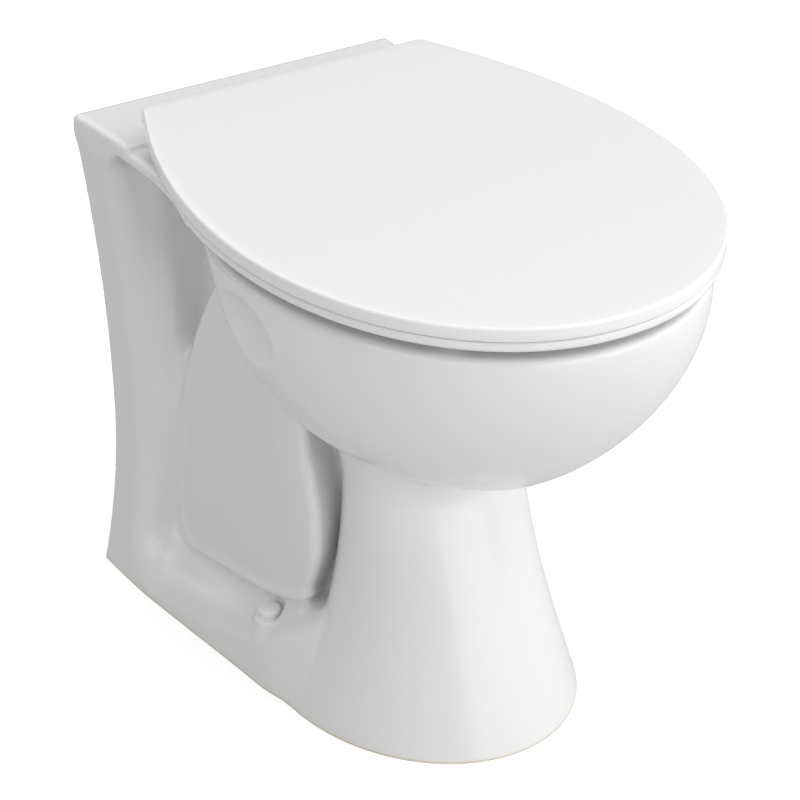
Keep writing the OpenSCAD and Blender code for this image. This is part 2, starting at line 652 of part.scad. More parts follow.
module cone_bush(side) color(grey_rubber) at_post(side) difference() {
  union() {
    translate([0, 0, bush_z]) cylinder(r1 = nut_r, r2 = fixing_hole_r + 1.5, h = bush_h);
    translate([0, 0, slab_z]) cylinder(r = fixing_hole_r - 0.1, h = shelf_thick - 1);
  }
  translate([0, 0, bush_z - past]) cylinder(r = bolt_r + 0.1, h = bush_h + shelf_thick + 2 * past);
}

module fixing_washer(side) color(white_plastic) at_post(side) translate([0, 0, washer_z]) difference() {
  cylinder(r = nut_r, h = washer_thick);
  translate([0, 0, -past]) cylinder(r = bolt_r + 0.3, h = washer_thick + 2 * past);
}

module wing_nut(side) color(white_plastic) at_post(side) translate([0, 0, nut_z]) difference() {
  union() {
    cylinder(r = nut_r - 2.5, h = nut_h);
    wing = wing_span / 2 - 2;
    both_sides(2) rotate([90, 0, 0]) translate([0, 0, -2])
      linear_extrude(4) polygon([[0, 0], [wing, -5], [wing, nut_h * 0.55], [0, nut_h]]);
  }
  translate([0, 0, -2 * past]) cylinder(r = bolt_r + 0.1, h = nut_h + 4 * past);
}

// ---- Floor fixings and inlet --------------------------------------------------------------

module at_floor_hole(side) from_wall()
  translate([side * floor_hole_centres / 2, -floor_hole_d, spot_h]) children();

module cap_base(side) color(white_plastic) at_floor_hole(side) difference() {
  union() {
    cylinder(r = cap_base_r, h = 1);
    cylinder(r = cap_r - cap_wall - 0.1, h = cap_base_h);
  }
  translate([0, 0, -past]) cylinder(r = floor_hole_r, h = cap_base_h + 2 * past);
}

module screw_cap(side) color(white_plastic) at_floor_hole(side) translate([0, 0, 1])
  rotate_extrude() polygon(concat(
  [[cap_r - cap_wall, 0], [cap_r, 0]],
  [for (a = [0 : 15 : 90]) [cap_r - 1.5 + 1.5 * cos(a), cap_h - 1.5 + 1.5 * sin(a)]],
  [[0, cap_h + 0.4], [0, cap_h - cap_wall], [cap_r - cap_wall, cap_h - cap_wall]]));

module inlet_seal() color(grey_rubber) from_wall() translate([0, -inlet_mouth, inlet_h]) rotate([90, 0, 0])
  rotate_extrude() difference() {
    union() {
      translate([seal_bore_r, 0]) square([inlet_socket_r - 0.05 - seal_bore_r, seal_len]);
      translate([seal_bore_r, -seal_flange]) square([inlet_socket_r + 4 - seal_bore_r, seal_flange]);
    }
    translate([seal_bore_r + 3, 6]) square([inlet_socket_r - seal_bore_r - 6, seal_len - 6 + past]);
  }

// ---- The assembly -------------------------------------------------------------------------

pan();
seat_ring();
lid();
hinge_post(-1);  // hinge_post_left
hinge_post(1);  // hinge_post_right
hinge_pin(-1);  // hinge_pin_left
hinge_pin(1);  // hinge_pin_right
post_gasket(-1);  // post_gasket_left
post_gasket(1);  // post_gasket_right
fixing_bolt(-1);  // fixing_bolt_left
fixing_bolt(1);  // fixing_bolt_right
cone_bush(-1);  // cone_bush_left
cone_bush(1);  // cone_bush_right
fixing_washer(-1);  // fixing_washer_left
fixing_washer(1);  // fixing_washer_right
wing_nut(-1);  // wing_nut_left
wing_nut(1);  // wing_nut_right
seat_buffers_front();
seat_buffers_rear();
lid_buffers();
cap_base(-1);  // cap_base_left
cap_base(1);  // cap_base_right
screw_cap(-1);  // screw_cap_left
screw_cap(1);  // screw_cap_right
inlet_seal();
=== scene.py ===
"""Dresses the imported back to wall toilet: glaze, seat, lid, fittings and a plain studio."""

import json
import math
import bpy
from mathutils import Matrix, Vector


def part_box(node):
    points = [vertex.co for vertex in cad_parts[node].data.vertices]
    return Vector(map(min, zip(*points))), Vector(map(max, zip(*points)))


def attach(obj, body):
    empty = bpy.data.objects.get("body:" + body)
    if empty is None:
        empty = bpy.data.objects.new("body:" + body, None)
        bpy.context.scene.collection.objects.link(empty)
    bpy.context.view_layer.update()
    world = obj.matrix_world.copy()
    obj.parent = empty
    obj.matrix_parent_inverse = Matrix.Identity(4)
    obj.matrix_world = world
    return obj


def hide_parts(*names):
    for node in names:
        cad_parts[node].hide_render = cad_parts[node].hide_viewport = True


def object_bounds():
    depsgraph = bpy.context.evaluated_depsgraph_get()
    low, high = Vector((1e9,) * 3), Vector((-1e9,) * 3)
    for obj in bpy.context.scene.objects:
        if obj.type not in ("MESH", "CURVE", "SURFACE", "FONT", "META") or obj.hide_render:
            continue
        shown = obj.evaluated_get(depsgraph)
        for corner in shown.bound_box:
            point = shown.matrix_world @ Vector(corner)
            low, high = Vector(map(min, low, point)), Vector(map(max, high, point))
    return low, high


bl_info = {
    "name": "Back to wall toilet",
    "version": (1, 0, 0),
    "blender": (4, 5, 0),
    "location": "View3D > Sidebar > Toilet",
    "description": "Builds the visible surfaces of a back to wall toilet round its packed solids",
    "category": "Object",
}

import bmesh
import bpy
import numpy as np
from mathutils import Vector

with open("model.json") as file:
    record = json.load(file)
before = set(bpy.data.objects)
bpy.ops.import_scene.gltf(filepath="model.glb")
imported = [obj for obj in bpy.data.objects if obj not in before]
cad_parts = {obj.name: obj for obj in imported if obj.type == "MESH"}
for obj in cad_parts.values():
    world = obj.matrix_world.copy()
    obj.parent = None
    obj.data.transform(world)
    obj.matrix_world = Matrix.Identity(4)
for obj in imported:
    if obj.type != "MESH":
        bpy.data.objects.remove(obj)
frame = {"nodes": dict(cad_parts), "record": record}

MM = 0.001
WALL_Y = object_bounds()[1][1]
HINGE = frame["record"]["behaviour"]["joints"][0]["pos_m"]
HINGE_D = (WALL_Y - HINGE[1]) / MM
HINGE_Z = HINGE[2] / MM


# ---- Shapes given by a distance, in millimetres ---------------------------------------------
# x runs across from the middle, d from the wall towards the front, z up. A field is negative
# inside its shape and about the distance to its surface near by.

def lerp(a, b, t):
    return a + (b - a) * t


def ease(t):
    t = np.clip(t, 0, 1)
    return t * t * (3 - 2 * t)


def curve(t, at, values):
    """A smooth line through values given at a few places."""
    at, values = np.array(at, dtype=float), np.array(values, dtype=float)
    steps = np.diff(values) / np.diff(at)
    slopes = np.concatenate([steps[:1], (steps[1:] + steps[:-1]) / 2, steps[-1:]])
    t = np.clip(t, at[0], at[-1])
    i = np.clip(np.searchsorted(at, t, side="right") - 1, 0, len(at) - 2)
    width = at[i + 1] - at[i]
    s = (t - at[i]) / width
    return (values[i] + (values[i + 1] - values[i]) * s * s * (3 - 2 * s)
            + s * (1 - s) * width * (slopes[i] * (1 - s) - slopes[i + 1] * s))


def join(a, b, r):
    """Both shapes, with a hollow fillet of radius r where they meet."""
    return np.maximum(r, np.minimum(a, b)) - np.hypot(np.maximum(r - a, 0), np.maximum(r - b, 0))


def both(a, b, r):
    """What lies in both shapes, with its edge rounded to radius r."""
    return np.minimum(-r, np.maximum(a, b)) + np.hypot(np.maximum(r + a, 0), np.maximum(r + b, 0))


def cut(a, b, r):
    return both(a, -b, r)


def even(shape, x, d, z, step=0.5):
    """Turns any smooth function that is zero on a surface into a distance near it."""
    here = shape(x, d, z)
    slope = np.sqrt((shape(x + step, d, z) - here) ** 2 + (shape(x, d + step, z) - here) ** 2
                    + (shape(x, d, z + step) - here) ** 2) / step
    return here / np.maximum(slope, 1e-4)


def egg(x, d, half, rear, widest, front, power):
    """Zero on an egg-shaped outline given by its half width and its three distances."""
    reach = np.where(d > widest, front - widest, widest - rear)
    t = np.abs(d - widest) / reach
    return ((x / half) ** power + t ** power) ** (1 / power) - 1


# ---- The pan, in millimetres ----------------------------------------------------------------

SHELF_TOP = 401
RIM_STEP = 4
RIM_TOP = SHELF_TOP - RIM_STEP
PAN_REACH = 520
FOOT_HALF = 135.5
WALL = 11
NECK_Z = 188
BOWL_POWER = 2.06
OPENING_POWER = 2.08
PEDESTAL_POWER = 2.0
BOWL_WALL = 8.8
OUTLET_Z = 185
INLET_Z = 343
SCREW_X, SCREW_D = 101, 213
SCREW_SEAT_Z = 50
SEAT_HOLE_X, SEAT_HOLE_D = 77.5, 72
FOOT_SLOPE, FOOT_SLANT = 0.32, 1.05


def frame_half(z):
    """Half width of the wall frame, which is narrowest at its waist."""
    waist_z, waist, foot_spread, top_spread = 135, 120, 15.5, 23
    low = waist + foot_spread * (np.clip(waist_z - z, 0, None) / waist_z) ** 2
    high = top_spread * (np.clip(z - waist_z, 0, None) / (400 - waist_z)) ** 1.85
    return low + high


def shelf_half(d):
    """Half width of the shelf, which widens a little at the wall and more towards the bowl."""
    middle, wall_spread, bowl_spread = 137, 5, 0.0019
    at_wall = wall_spread * np.clip(1 - d / 95, 0, 1) ** 2
    at_bowl = bowl_spread * np.clip(d - 105, 0, None) ** 2
    return middle + at_wall + at_bowl


def foot_half(d):
    """Half width of the foot from the wall to the pedestal."""
    return curve(d, (0, 61, 126, 189, 270, 304, 332), (FOOT_HALF, 135, 130, 124.3, 117.6, 111.5, 102.3))


def foot_edge(d):
    """Height of the foot's outer top edge, which climbs towards the pedestal."""
    return curve(d, (0, 50, 80, 115, 165, 215, 260, 300), (18, 19, 21, 26, 33, 45, 64, 95))


def casing_edge(z):
    """How far the casing's back edge stands from the wall: it leans forward as it climbs."""
    low_d, lean, low_z, climb = 57, 75, 68, 234
    return low_d + lean * (np.clip(z - low_z, 0, None) / climb) ** 2.2


def casing_side(x, d, z):
    """The casing's side, which turns round its front corner and back to the pedestal."""
    half, turn_in, turn_start, turn_run = 94, 4, 44, 40
    back_slope, back_slant, corner_x, corner_r = 0.6, 1.17, 90, 9
    front = curve(z, (40, 81, 121, 154, 188, 206, 230), (240, 252, 266, 267, 260, 254, 250))
    side = x - half + turn_in * np.clip((d - front + turn_start) / turn_run, 0, 1.3) ** 2
    return both(side, (d - front + back_slope * (corner_x - x)) / back_slant, corner_r)


def casing_panel(x, d, z):
    """The raised panel on the casing, with a low bead along its back edge and above the foot."""
    corner_r, bead_high, bead_in, bead_wide, edge_r = 26, 2.6, 6, 4, 4
    low = curve(d, (50, 82, 130, 169, 208, 245, 274, 300), (32, 34.5, 44, 51.5, 60.5, 74, 92, 115))
    outline = both(casing_edge(z) - d, (low - z) / 1.03, corner_r)
    bead = bead_high * np.exp(-((outline + bead_in) / bead_wide) ** 2)
    return both(casing_side(x, d, z) - bead, outline, edge_r)


def dimple(x, d, z):
    """The hollow in the bowl's flank just in front of the casing, longer than it is high."""
    centre_x, centre_d, centre_z, radius, stretch = 198, 301, 356, 41, 1.5
    away = (x - centre_x) ** 2 + ((d - centre_d) / stretch) ** 2 + (z - centre_z) ** 2
    return np.sqrt(away) - radius


def frame_web(x, z):
    """How far the frame reaches from the wall, slanting forward to the casing beside the recess."""
    flat, outer_x, run = 51, 126, 34
    slant = curve(z, (60, 110, 160, 250, 310), (4, 8, 15, 15, 6))
    return flat + slant * ease((outer_x - x) / run)


def pedestal_ring(z):
    """Half width, rear, widest place and front of the pedestal, flared at the floor and the bowl."""
    neck_half, neck_rear, neck_widest, neck_front, under_bowl = 73, 54, 289, 341, 60
    flare = np.clip(1 - z / NECK_Z, 0, 1)
    up = np.clip((z - NECK_Z) / under_bowl, 0, 1) ** 2
    widest = neck_widest - 21 * flare ** 4
    return (neck_half + 42 * flare ** 1.8 + 14 * up, widest - neck_rear - 9 * flare ** 4 - 10 * up, widest,
            neck_front + 69 * flare ** 1.03 + 20 * up)


def bowl_ring(z):
    """Half width, rear, widest place and front of the bowl, from its bottom to its rim."""
    bottom_z, depth, rim_half, rim_widest, smallest = 225.5, 166.5, 169.5, 300, 0.25
    t = np.clip((z - bottom_z) / depth, 0, 1)
    spread = np.maximum((1 - (1 - t) ** 2.44) ** 0.536, smallest)
    return (rim_half * spread, 293 - 166 * t ** 0.668, rim_widest + 20.8 * np.sqrt(1 - t),
            PAN_REACH - 146.4 * (1 - spread) ** 0.695)


def wall_frame(x, d, z):
    """Wall frame, feet and shelf, which share their sides and meet inside in hollow fillets."""
    foot_front, foot_rear_x, foot_front_x = 275, 116, 70
    shelf_under, shelf_front = 388, 210
    side = x - lerp(frame_half(z) - FOOT_HALF + foot_half(d), shelf_half(d), ease((z - 372) / 20))
    foot_top = (z - foot_edge(d) - FOOT_SLOPE * np.clip(foot_half(d) - 4 - x, 0, None)) / FOOT_SLANT
    low = np.clip(1 - z / NECK_Z, 0, 1) ** 1.25
    foot_limit = (x - lerp(foot_front_x, foot_rear_x, low) - 0.55 * (272 - d)) / 1.14
    foot = both(foot_top, both(foot_limit, d - foot_front, 4), 14)
    shelf = both(shelf_under - z, d - shelf_front, 20)
    inner = join(join(d - frame_web(x, z), foot, 30), shelf, 14)
    return both(side, inner, 17 - 13 * ease((z - 365) / 20))


def casing_and_core(x, d, z):
    """The trapway's casing behind its panel, and the narrow core that stands above it."""
    low_half, high_half, behind_panel = 64, 46, 6
    core = x - lerp(low_half, high_half, ease((z - 150) / 200)) + np.clip(d - 230, 0, None)
    casing = both(casing_side(x, d, z) + behind_panel, casing_edge(z) - 5 - d, 6)
    return join(core, casing, 12)


def pan_outside(x, d, z):
    """The pan without its hollows."""
    body = join(wall_frame(x, d, z), casing_and_core(x, d, z), 20)
    body = join(body, casing_panel(x, d, z), 3)
    pedestal = even(lambda a, b, c: egg(a, b, *pedestal_ring(c), PEDESTAL_POWER), x, d, z)
    body = join(body, both(pedestal, z - 270, 4), 5)
    bowl_bottom = 230
    bowl = even(lambda a, b, c: egg(a, b, *bowl_ring(c), BOWL_POWER), x, d, z)
    bowl = both(bowl, bowl_bottom - z, 8)
    body = join(body, cut(bowl, dimple(x, d, z), 2), 10 + 20 * ease((d - 290) / 60))
    boss_r, boss_low, spot_top = 12.5, 20, 61
    round_boss = np.hypot(x - SCREW_X, d - SCREW_D) - boss_r
    boss = both(round_boss, z - SCREW_SEAT_Z, 1)
    body = join(body, both(boss, boss_low - z, 1), 5)
    spot = both(round_boss, SCREW_SEAT_Z - z, 1)
    body = cut(body, both(spot, z - spot_top, 1), 1)
    step_d = 77 + 15 * ease((112 - x) / 8)
    top = RIM_TOP + RIM_STEP * ease((step_d - d) / 6 + 0.5)
    return both(both(body, z - top, 4.5), -d, 3)


def trap_path():
    """The middle line of the trapway, from the sump over the weir to the outlet."""
    bend, climb, fall = 32, math.radians(108), math.radians(225)
    sump_d, sump_z, weir_d, weir_z = 288, 128, 140, 246
    rise = weir_z - sump_z
    climb_d = (weir_d + 2 * bend * math.sin(climb)
               - (rise - 2 * bend * (1 + math.cos(climb))) / math.tan(climb))
    outlet_d = weir_d - (weir_z - OUTLET_Z) - 2 * bend * (math.sqrt(2) - 1)
    points = [(sump_d, sump_z)]
    for centre, start, end, turn, n in (((climb_d, sump_z + bend), math.pi, climb, -1, 8),
                                        ((weir_d, weir_z - bend), climb, fall, 1, 14),
                                        ((outlet_d, OUTLET_Z + bend), fall, math.pi, -1, 6)):
        for k in range(n + 1):
            heading = lerp(start, end, k / n)
            points.append((centre[0] + turn * bend * math.sin(heading),
                           centre[1] - turn * bend * math.cos(heading)))
    return points


def from_path(d, z, points):
    """Distance from a line of straight pieces in the middle plane."""
    best = None
    for (d0, z0), (d1, z1) in zip(points, points[1:]):
        run, rise = d1 - d0, z1 - z0
        t = np.clip(((d - d0) * run + (z - z0) * rise) / (run * run + rise * rise), 0, 1)
        away = np.hypot(d - d0 - t * run, z - z0 - t * rise)
        best = away if best is None else np.minimum(best, away)
    return best


def inside_ring(z):
    """The bowl's inside, which follows its outside and narrows to the sump."""
    sump_half, sump_rear, sump_widest, sump_front = 56, 246, 288, 330
    half, rear, widest, front = bowl_ring(z - BOWL_WALL)
    blend = ease((z - 236) / 24)
    return (np.maximum(sump_half, half - BOWL_WALL), np.minimum(sump_rear, rear + BOWL_WALL),
            lerp(sump_widest, widest, blend),
            lerp(sump_front, np.maximum(sump_front, front - BOWL_WALL), blend))


def bowl_inside(x, d, z):
    """The bowl's hollow under its rim, with the opening in the rim and the lip round it."""
    rim_under, sump_floor, lip_wide, lip_low, opening_low = 386, 101, 9, 364, 350
    inside = even(lambda a, b, c: egg(a, b, *inside_ring(c), BOWL_POWER), x, d, z)
    inside = both(both(inside, z - rim_under, 8), sump_floor - z, 24)
    inside = both(inside, 10 - dimple(x, d, z), 6)
    opening = even(lambda a, b, c: egg(a, b, 125, 174, 300, 480, OPENING_POWER), x, d, z * 0)
    lip = both(opening - lip_wide, lip_low - z, 4)
    return join(cut(inside, lip, 4), both(opening, opening_low - z, 4), 3)


def open_hollows(x, d, z):
    """The hollows that are open at the back and under the foot."""
    back_depth, back_top, under_top = 42, 377, 79
    back = both(both(x - frame_half(z) + WALL, d - back_depth, 12), z - back_top, 12)
    round_trap = both(both(x - 77, casing_edge(z) + 9 - d, 8), both(d - 235, z - 289, 8), 8)
    round_trap = both(round_trap, casing_side(x, d, z) + 17, 8)
    foot_z = foot_edge(d) - WALL + FOOT_SLOPE * np.clip(foot_half(d) - 15 - x, 0, None)
    under_foot = both(x - foot_half(d) + WALL, (z - foot_z) / FOOT_SLANT, 5)
    under_foot = both(under_foot, both(58 - d, d - 182, 5), 5)
    half, rear, widest, front = pedestal_ring(np.maximum(z, 0))
    inner = (half - WALL, rear + WALL, widest, front - WALL)
    under = even(lambda a, b, c: egg(a, b, *inner, PEDESTAL_POWER), x, d, z)
    return np.minimum(np.minimum(back, round_trap), np.minimum(under_foot, both(under, z - under_top, 10)))


def pan_field(x, d, z):
    """The whole pan: outside, hollows, waterways and fixing holes."""
    trap_r, trap_bore, spigot_r, spigot_bore = 35, 27, 51, 43
    boss_r, socket_r, flush_r, seat_hole_r, floor_hole_r = 36.5, 27.5, 13, 8, 4.5
    body = cut(pan_outside(x, d, z), open_hollows(x, d, z), 1.5)
    # Trapway, outlet spigot and flush inlet stand in the hollows
    line = np.hypot(x, from_path(d, z, trap_path()))
    outlet = np.hypot(x, z - OUTLET_Z)
    inlet = np.hypot(x, z - INLET_Z)
    spigot = both(both(outlet - spigot_r, 6 - d, 3), d - 70, 3)
    boss = both(both(inlet - boss_r, 20 - d, 3), d - 60, 1)
    trap = both(line - trap_r, 40 - d, 2)
    body = join(body, both(join(trap, spigot, 8), d - 262, 4), 6)
    body = join(body, boss, 6)
    flush = np.hypot(x, from_path(d, z, [(50, INLET_Z), (174, 373)])) - flush_r
    ways = join(bowl_inside(x, d, z), line - trap_bore, 6)
    ways = np.minimum(ways, both(outlet - spigot_bore, d - 62, 4))
    ways = np.minimum(ways, np.minimum(both(inlet - socket_r, d - 58, 2), flush))
    body = cut(body, ways, 4)
    seat_hole = both(np.hypot(x - SEAT_HOLE_X, d - SEAT_HOLE_D) - seat_hole_r, 370 - z, 1)
    floor_hole = both(np.hypot(x - SCREW_X, d - SCREW_D) - floor_hole_r, z - 70, 1)
    return cut(body, np.minimum(seat_hole, floor_hole), 1)


# ---- Meshes ---------------------------------------------------------------------------------

def surface_net(field, low, cell):
    """Points and four-sided faces of the zero surface of a field that is given on a grid."""
    inside = field < 0
    corners = [(i, j, k) for i in (0, 1) for j in (0, 1) for k in (0, 1)]
    size = [n - 1 for n in field.shape]

    def at(values, corner):
        return values[tuple(slice(c, c + n) for c, n in zip(corner, size))]

    count = sum(at(inside, c).astype(np.int8) for c in corners)
    where = np.argwhere((count > 0) & (count < 8))
    number = np.full(size, -1, dtype=np.int64)
    number[tuple(where.T)] = np.arange(len(where))
    total = np.zeros((len(where), 3))
    hits = np.zeros(len(where))
    for a in corners:
        for axis in range(3):
            if a[axis]:
                continue
            b = tuple(v + (n == axis) for n, v in enumerate(a))
            fa = field[tuple((where + a).T)]
            fb = field[tuple((where + b).T)]
            crossed = (fa < 0) != (fb < 0)
            t = np.where(crossed, fa / np.where(crossed, fa - fb, 1), 0)
            point = np.array(a)[None, :] + t[:, None] * (np.array(b) - np.array(a))[None, :]
            total += np.where(crossed[:, None], point, 0)
            hits += crossed
    points = np.array(low) + (where + total / hits[:, None]) * cell
    faces = []
    for axis in range(3):
        u, v = (axis + 1) % 3, (axis + 2) % 3
        first = [slice(1, n) for n in size]
        first[axis] = slice(0, size[axis])
        second = list(first)
        second[axis] = slice(1, size[axis] + 1)
        fa, fb = inside[tuple(first)], inside[tuple(second)]
        for outward, crossed in ((True, fa & ~fb), (False, ~fa & fb)):
            cells = np.argwhere(crossed)
            cells[:, u] += 1
            cells[:, v] += 1
            quad = []
            for du, dv in ((-1, -1), (0, -1), (0, 0), (-1, 0)):
                corner = cells.copy()
                corner[:, u] += du
                corner[:, v] += dv
                quad.append(number[tuple(corner.T)])
            if not outward:
                quad.reverse()
            faces.append(np.stack(quad, axis=1))
    return points, np.concatenate(faces)


def settle(points, field, rounds, h=0.4, least_slope=0.5, longest=1.2):
    """Moves points onto the zero surface of a field, by no more than the longest step a round."""
    for _ in range(rounds):
        x, d, z = points.T
        flip = np.where(x < 0, -1, 1)
        x = np.abs(x)
        here = field(x, d, z)
        slope = np.stack([field(np.abs(x + h), d, z) - field(np.abs(x - h), d, z),
                          field(x, d + h, z) - field(x, d - h, z),
                          field(x, d, z + h) - field(x, d, z - h)], axis=1) / (2 * h)
        move = (here / np.maximum((slope ** 2).sum(axis=1), least_slope ** 2))[:, None] * slope
        far = np.maximum(np.abs(move).max(axis=1), 1e-6)
        move *= np.minimum(1, longest / far)[:, None]
        move[:, 0] *= flip
        points = points - move
    return points


def to_frame(points):
    """Millimetres across, from the wall and up, to metres in the frame of the solids."""
    points = np.asarray(points, dtype=float)
    return np.stack([points[:, 0] * MM, WALL_Y - points[:, 1] * MM, points[:, 2] * MM], axis=1)


def mesh_object(name, points, faces, material, smooth=True):
    mesh = bpy.data.meshes.new(name)
    mesh.from_pydata([tuple(p) for p in points], [], [tuple(f) for f in faces])
    mesh.validate()
    mesh.polygons.foreach_set("use_smooth", [smooth] * len(mesh.polygons))
    mesh.materials.append(material)
    mesh.update()
    piece = bpy.data.objects.new(name, mesh)
    bpy.context.scene.collection.objects.link(piece)
    return piece


def stand_on_floor(mesh):
    """Cuts a mesh off level with the floor and closes the cut with a flat, sharp-edged face."""
    form = bmesh.new()
    form.from_mesh(mesh)
    every = form.verts[:] + form.edges[:] + form.faces[:]
    sliced = bmesh.ops.bisect_plane(form, geom=every, plane_co=(0, 0, 0), plane_no=(0, 0, 1),
                                    clear_inner=True)
    rim = [part for part in sliced["geom_cut"] if isinstance(part, bmesh.types.BMEdge)]
    bmesh.ops.triangle_fill(form, edges=rim, normal=(0, 0, -1))
    for edge in rim:
        edge.smooth = False
    form.to_mesh(mesh)
    form.free()


def place(piece, body, slot, *nodes):
    """Hangs a piece on a body in place of the named solids."""
    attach(piece, body)
    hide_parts(*nodes)


def add_modifier(piece, kind, **settings):
    modifier = piece.modifiers.new(kind.title(), kind)
    for key, value in settings.items():
        setattr(modifier, key, value)
    return modifier


def loft(rows, closed=False):
    """Faces round rows of equally many points, with flat ends or joined end to end."""
    n, m = len(rows[0]), len(rows)
    faces = []
    for j in range(m if closed else m - 1):
        for i in range(n):
            a, b = j * n + i, j * n + (i + 1) % n
            c, e = ((j + 1) % m) * n + (i + 1) % n, ((j + 1) % m) * n + i
            faces.append((a, b, c, e))
    if not closed:
        faces.append(tuple(range(n))[::-1])
        faces.append(tuple((m - 1) * n + i for i in range(n)))
    return [p for row in rows for p in row], faces


def merge(*parts):
    points, faces = [], []
    for part_points, part_faces in parts:
        start = len(points)
        points += [tuple(p) for p in part_points]
        faces += [tuple(i + start for i in face) for face in part_faces]
    return points, faces


def turned(profile, segments, centre):
    """A body of revolution: profile of (radius, height) round an upright axis through a centre."""
    rows = []
    for radius, height in profile:
        row = []
        for i in range(segments):
            a = 2 * math.pi * i / segments
            offset = (radius * math.cos(a), -radius * math.sin(a), height)
            row.append(tuple(c + o for c, o in zip(centre, offset)))
        rows.append(row)
    return loft(rows)


# ---- Finishes -------------------------------------------------------------------------------

GLAZE_IOR, PLASTIC_IOR = 1.52, 1.49
WHITE = (1, 1, 1, 1)


class Wire:
    """A shader socket that takes part in Python arithmetic."""

    def __init__(self, finish, socket):
        self.finish = finish
        self.socket = socket

    def _math(self, operation, a, b=None, clamp=False):
        inputs = {0: a} if b is None else {0: a, 1: b}
        return self.finish.node("ShaderNodeMath", {"operation": operation, "use_clamp": clamp}, inputs)

    def __add__(self, other):
        return self._math("ADD", self, other)

    def __sub__(self, other):
        return self._math("SUBTRACT", self, other)

    def __rsub__(self, other):
        return self._math("SUBTRACT", other, self)

    def __mul__(self, other):
        return self._math("MULTIPLY", self, other)

    def __truediv__(self, other):
        return self._math("DIVIDE", self, other)

    def clamped(self):
        return self._math("ADD", self, 0.0, clamp=True)


class Finish:
    """One material or world, built node by node."""

    def __init__(self, owner):
        owner.use_nodes = True
        self.owner = owner
        self.tree = owner.node_tree
        self.tree.nodes.clear()

    def node(self, kind, settings=None, inputs=None, output=0):
        node = self.tree.nodes.new(kind)
        for key, value in (settings or {}).items():
            setattr(node, key, value)
        for key, value in (inputs or {}).items():
            if isinstance(value, Wire):
                self.tree.links.new(value.socket, node.inputs[key])
            else:
                node.inputs[key].default_value = value
        return Wire(self, node.outputs[output])

    def mix(self, factor, a, b):
        """Mixes two colours."""
        return self.node("ShaderNodeMix", {"data_type": "RGBA"}, {0: factor, 6: a, 7: b}, output=2)

    def place(self):
        """Where a point is on its piece, which keeps still as the piece moves."""
        return self.node("ShaderNodeTexCoord", output=3)

    def noise(self, scale, detail=2.0, roughness=0.5):
        return self.node("ShaderNodeTexNoise", {"noise_dimensions": "3D"},
                         {"Vector": self.place(), "Scale": scale, "Detail": detail, "Roughness": roughness})

    def bump(self, height, strength, distance):
        return self.node("ShaderNodeBump", None,
                         {"Height": height, "Strength": strength, "Distance": distance})

    def surface(self, **sockets):
        inputs = {key.replace("_", " "): value for key, value in sockets.items()}
        shader = self.node("ShaderNodeBsdfPrincipled", None, inputs)
        self.finish(shader)

    def finish(self, shader):
        is_world = isinstance(self.owner, bpy.types.World)
        output = self.tree.nodes.new("ShaderNodeOutputWorld" if is_world else "ShaderNodeOutputMaterial")
        self.tree.links.new(shader.socket, output.inputs["Surface"])


def opaque(colour):
    return (*colour, 1.0)


def shade(colour, factor):
    return opaque([c * factor for c in colour])


def glaze(settings):
    """White vitreous glaze over pale clay, bare where the foot was wiped clean for firing."""
    material = bpy.data.materials.new("Glazed ceramic")
    f = Finish(material)
    height = f.node("ShaderNodeSeparateXYZ", None, {0: f.place()}, output=2)
    wander_height, feather = 0.0004, 0.0005
    wander = f.noise(40.0, 1.0) * wander_height
    bare = (1 - (height + wander - settings.bare_height * 0.9) / feather).clamped()
    cloud = f.noise(7.0, 3.0)
    white = f.mix(cloud, shade(settings.glaze_colour, 0.985), opaque(settings.glaze_colour))
    specks = (f.noise(900.0, 1.0) - 0.72).clamped() * 1.6
    white = f.mix(specks, white, shade(settings.glaze_colour, 0.86))
    ripple = f.noise(28.0, 2.0) + f.noise(180.0, 1.0) * 0.12
    clay_grain = f.noise(1500.0, 2.0)
    normal = f.bump(ripple * (1 - bare) + clay_grain * bare * 0.3, 0.02, 0.0012)
    f.surface(Base_Color=f.mix(bare, white, opaque(settings.clay_colour)),
              Roughness=f.noise(14.0) * 0.04 + settings.glaze_roughness - 0.02 + bare * 0.6,
              Normal=normal, IOR=GLAZE_IOR)
    return material


def plastic(name, colour, roughness, grain=0.0, strength=0.0):
    """Moulded plastic: uneven gloss and, where strength is set, a fine grain and faint cloudiness."""
    material = bpy.data.materials.new(name)
    f = Finish(material)
    look = {"Base_Color": opaque(colour)}
    if strength:
        look["Base_Color"] = f.mix(f.noise(11.0), shade(colour, 0.985), opaque(colour))
        look["Normal"] = f.bump(f.noise(grain, 1.0), strength, 0.0002)
    f.surface(Roughness=f.noise(5.0) * 0.04 + roughness - 0.02, IOR=PLASTIC_IOR, **look)
    return material


def rubber(settings):
    """Matt grey rubber with a mottled bloom."""
    material = bpy.data.materials.new("Rubber")
    f = Finish(material)
    bloom = f.noise(240.0, 4.0, 0.6)
    colour = settings.rubber_colour
    f.surface(Base_Color=f.mix(bloom, shade(colour, 0.8), shade(colour, 1.2)),
              Roughness=bloom * 0.15 + 0.62, Normal=f.bump(f.noise(1200.0), 0.25, 0.0003))
    return material


def brushed_steel(settings):
    """Steel with turning marks round its length."""
    material = bpy.data.materials.new("Brushed steel")
    f = Finish(material)
    marks = f.node("ShaderNodeTexNoise", {"noise_dimensions": "3D"},
                   {"Vector": f.node("ShaderNodeMapping", None, {0: f.place(), 3: (60.0, 60.0, 2400.0)}),
                    "Scale": 1.0, "Detail": 3.0})
    f.surface(Base_Color=f.mix(marks, shade(settings.steel_colour, 0.85), opaque(settings.steel_colour)),
              Metallic=1.0, Roughness=marks * 0.2 + 0.22, Normal=f.bump(marks, 0.2, 0.0002))
    return material


# ---- Outlines of the seat and the lid -------------------------------------------------------

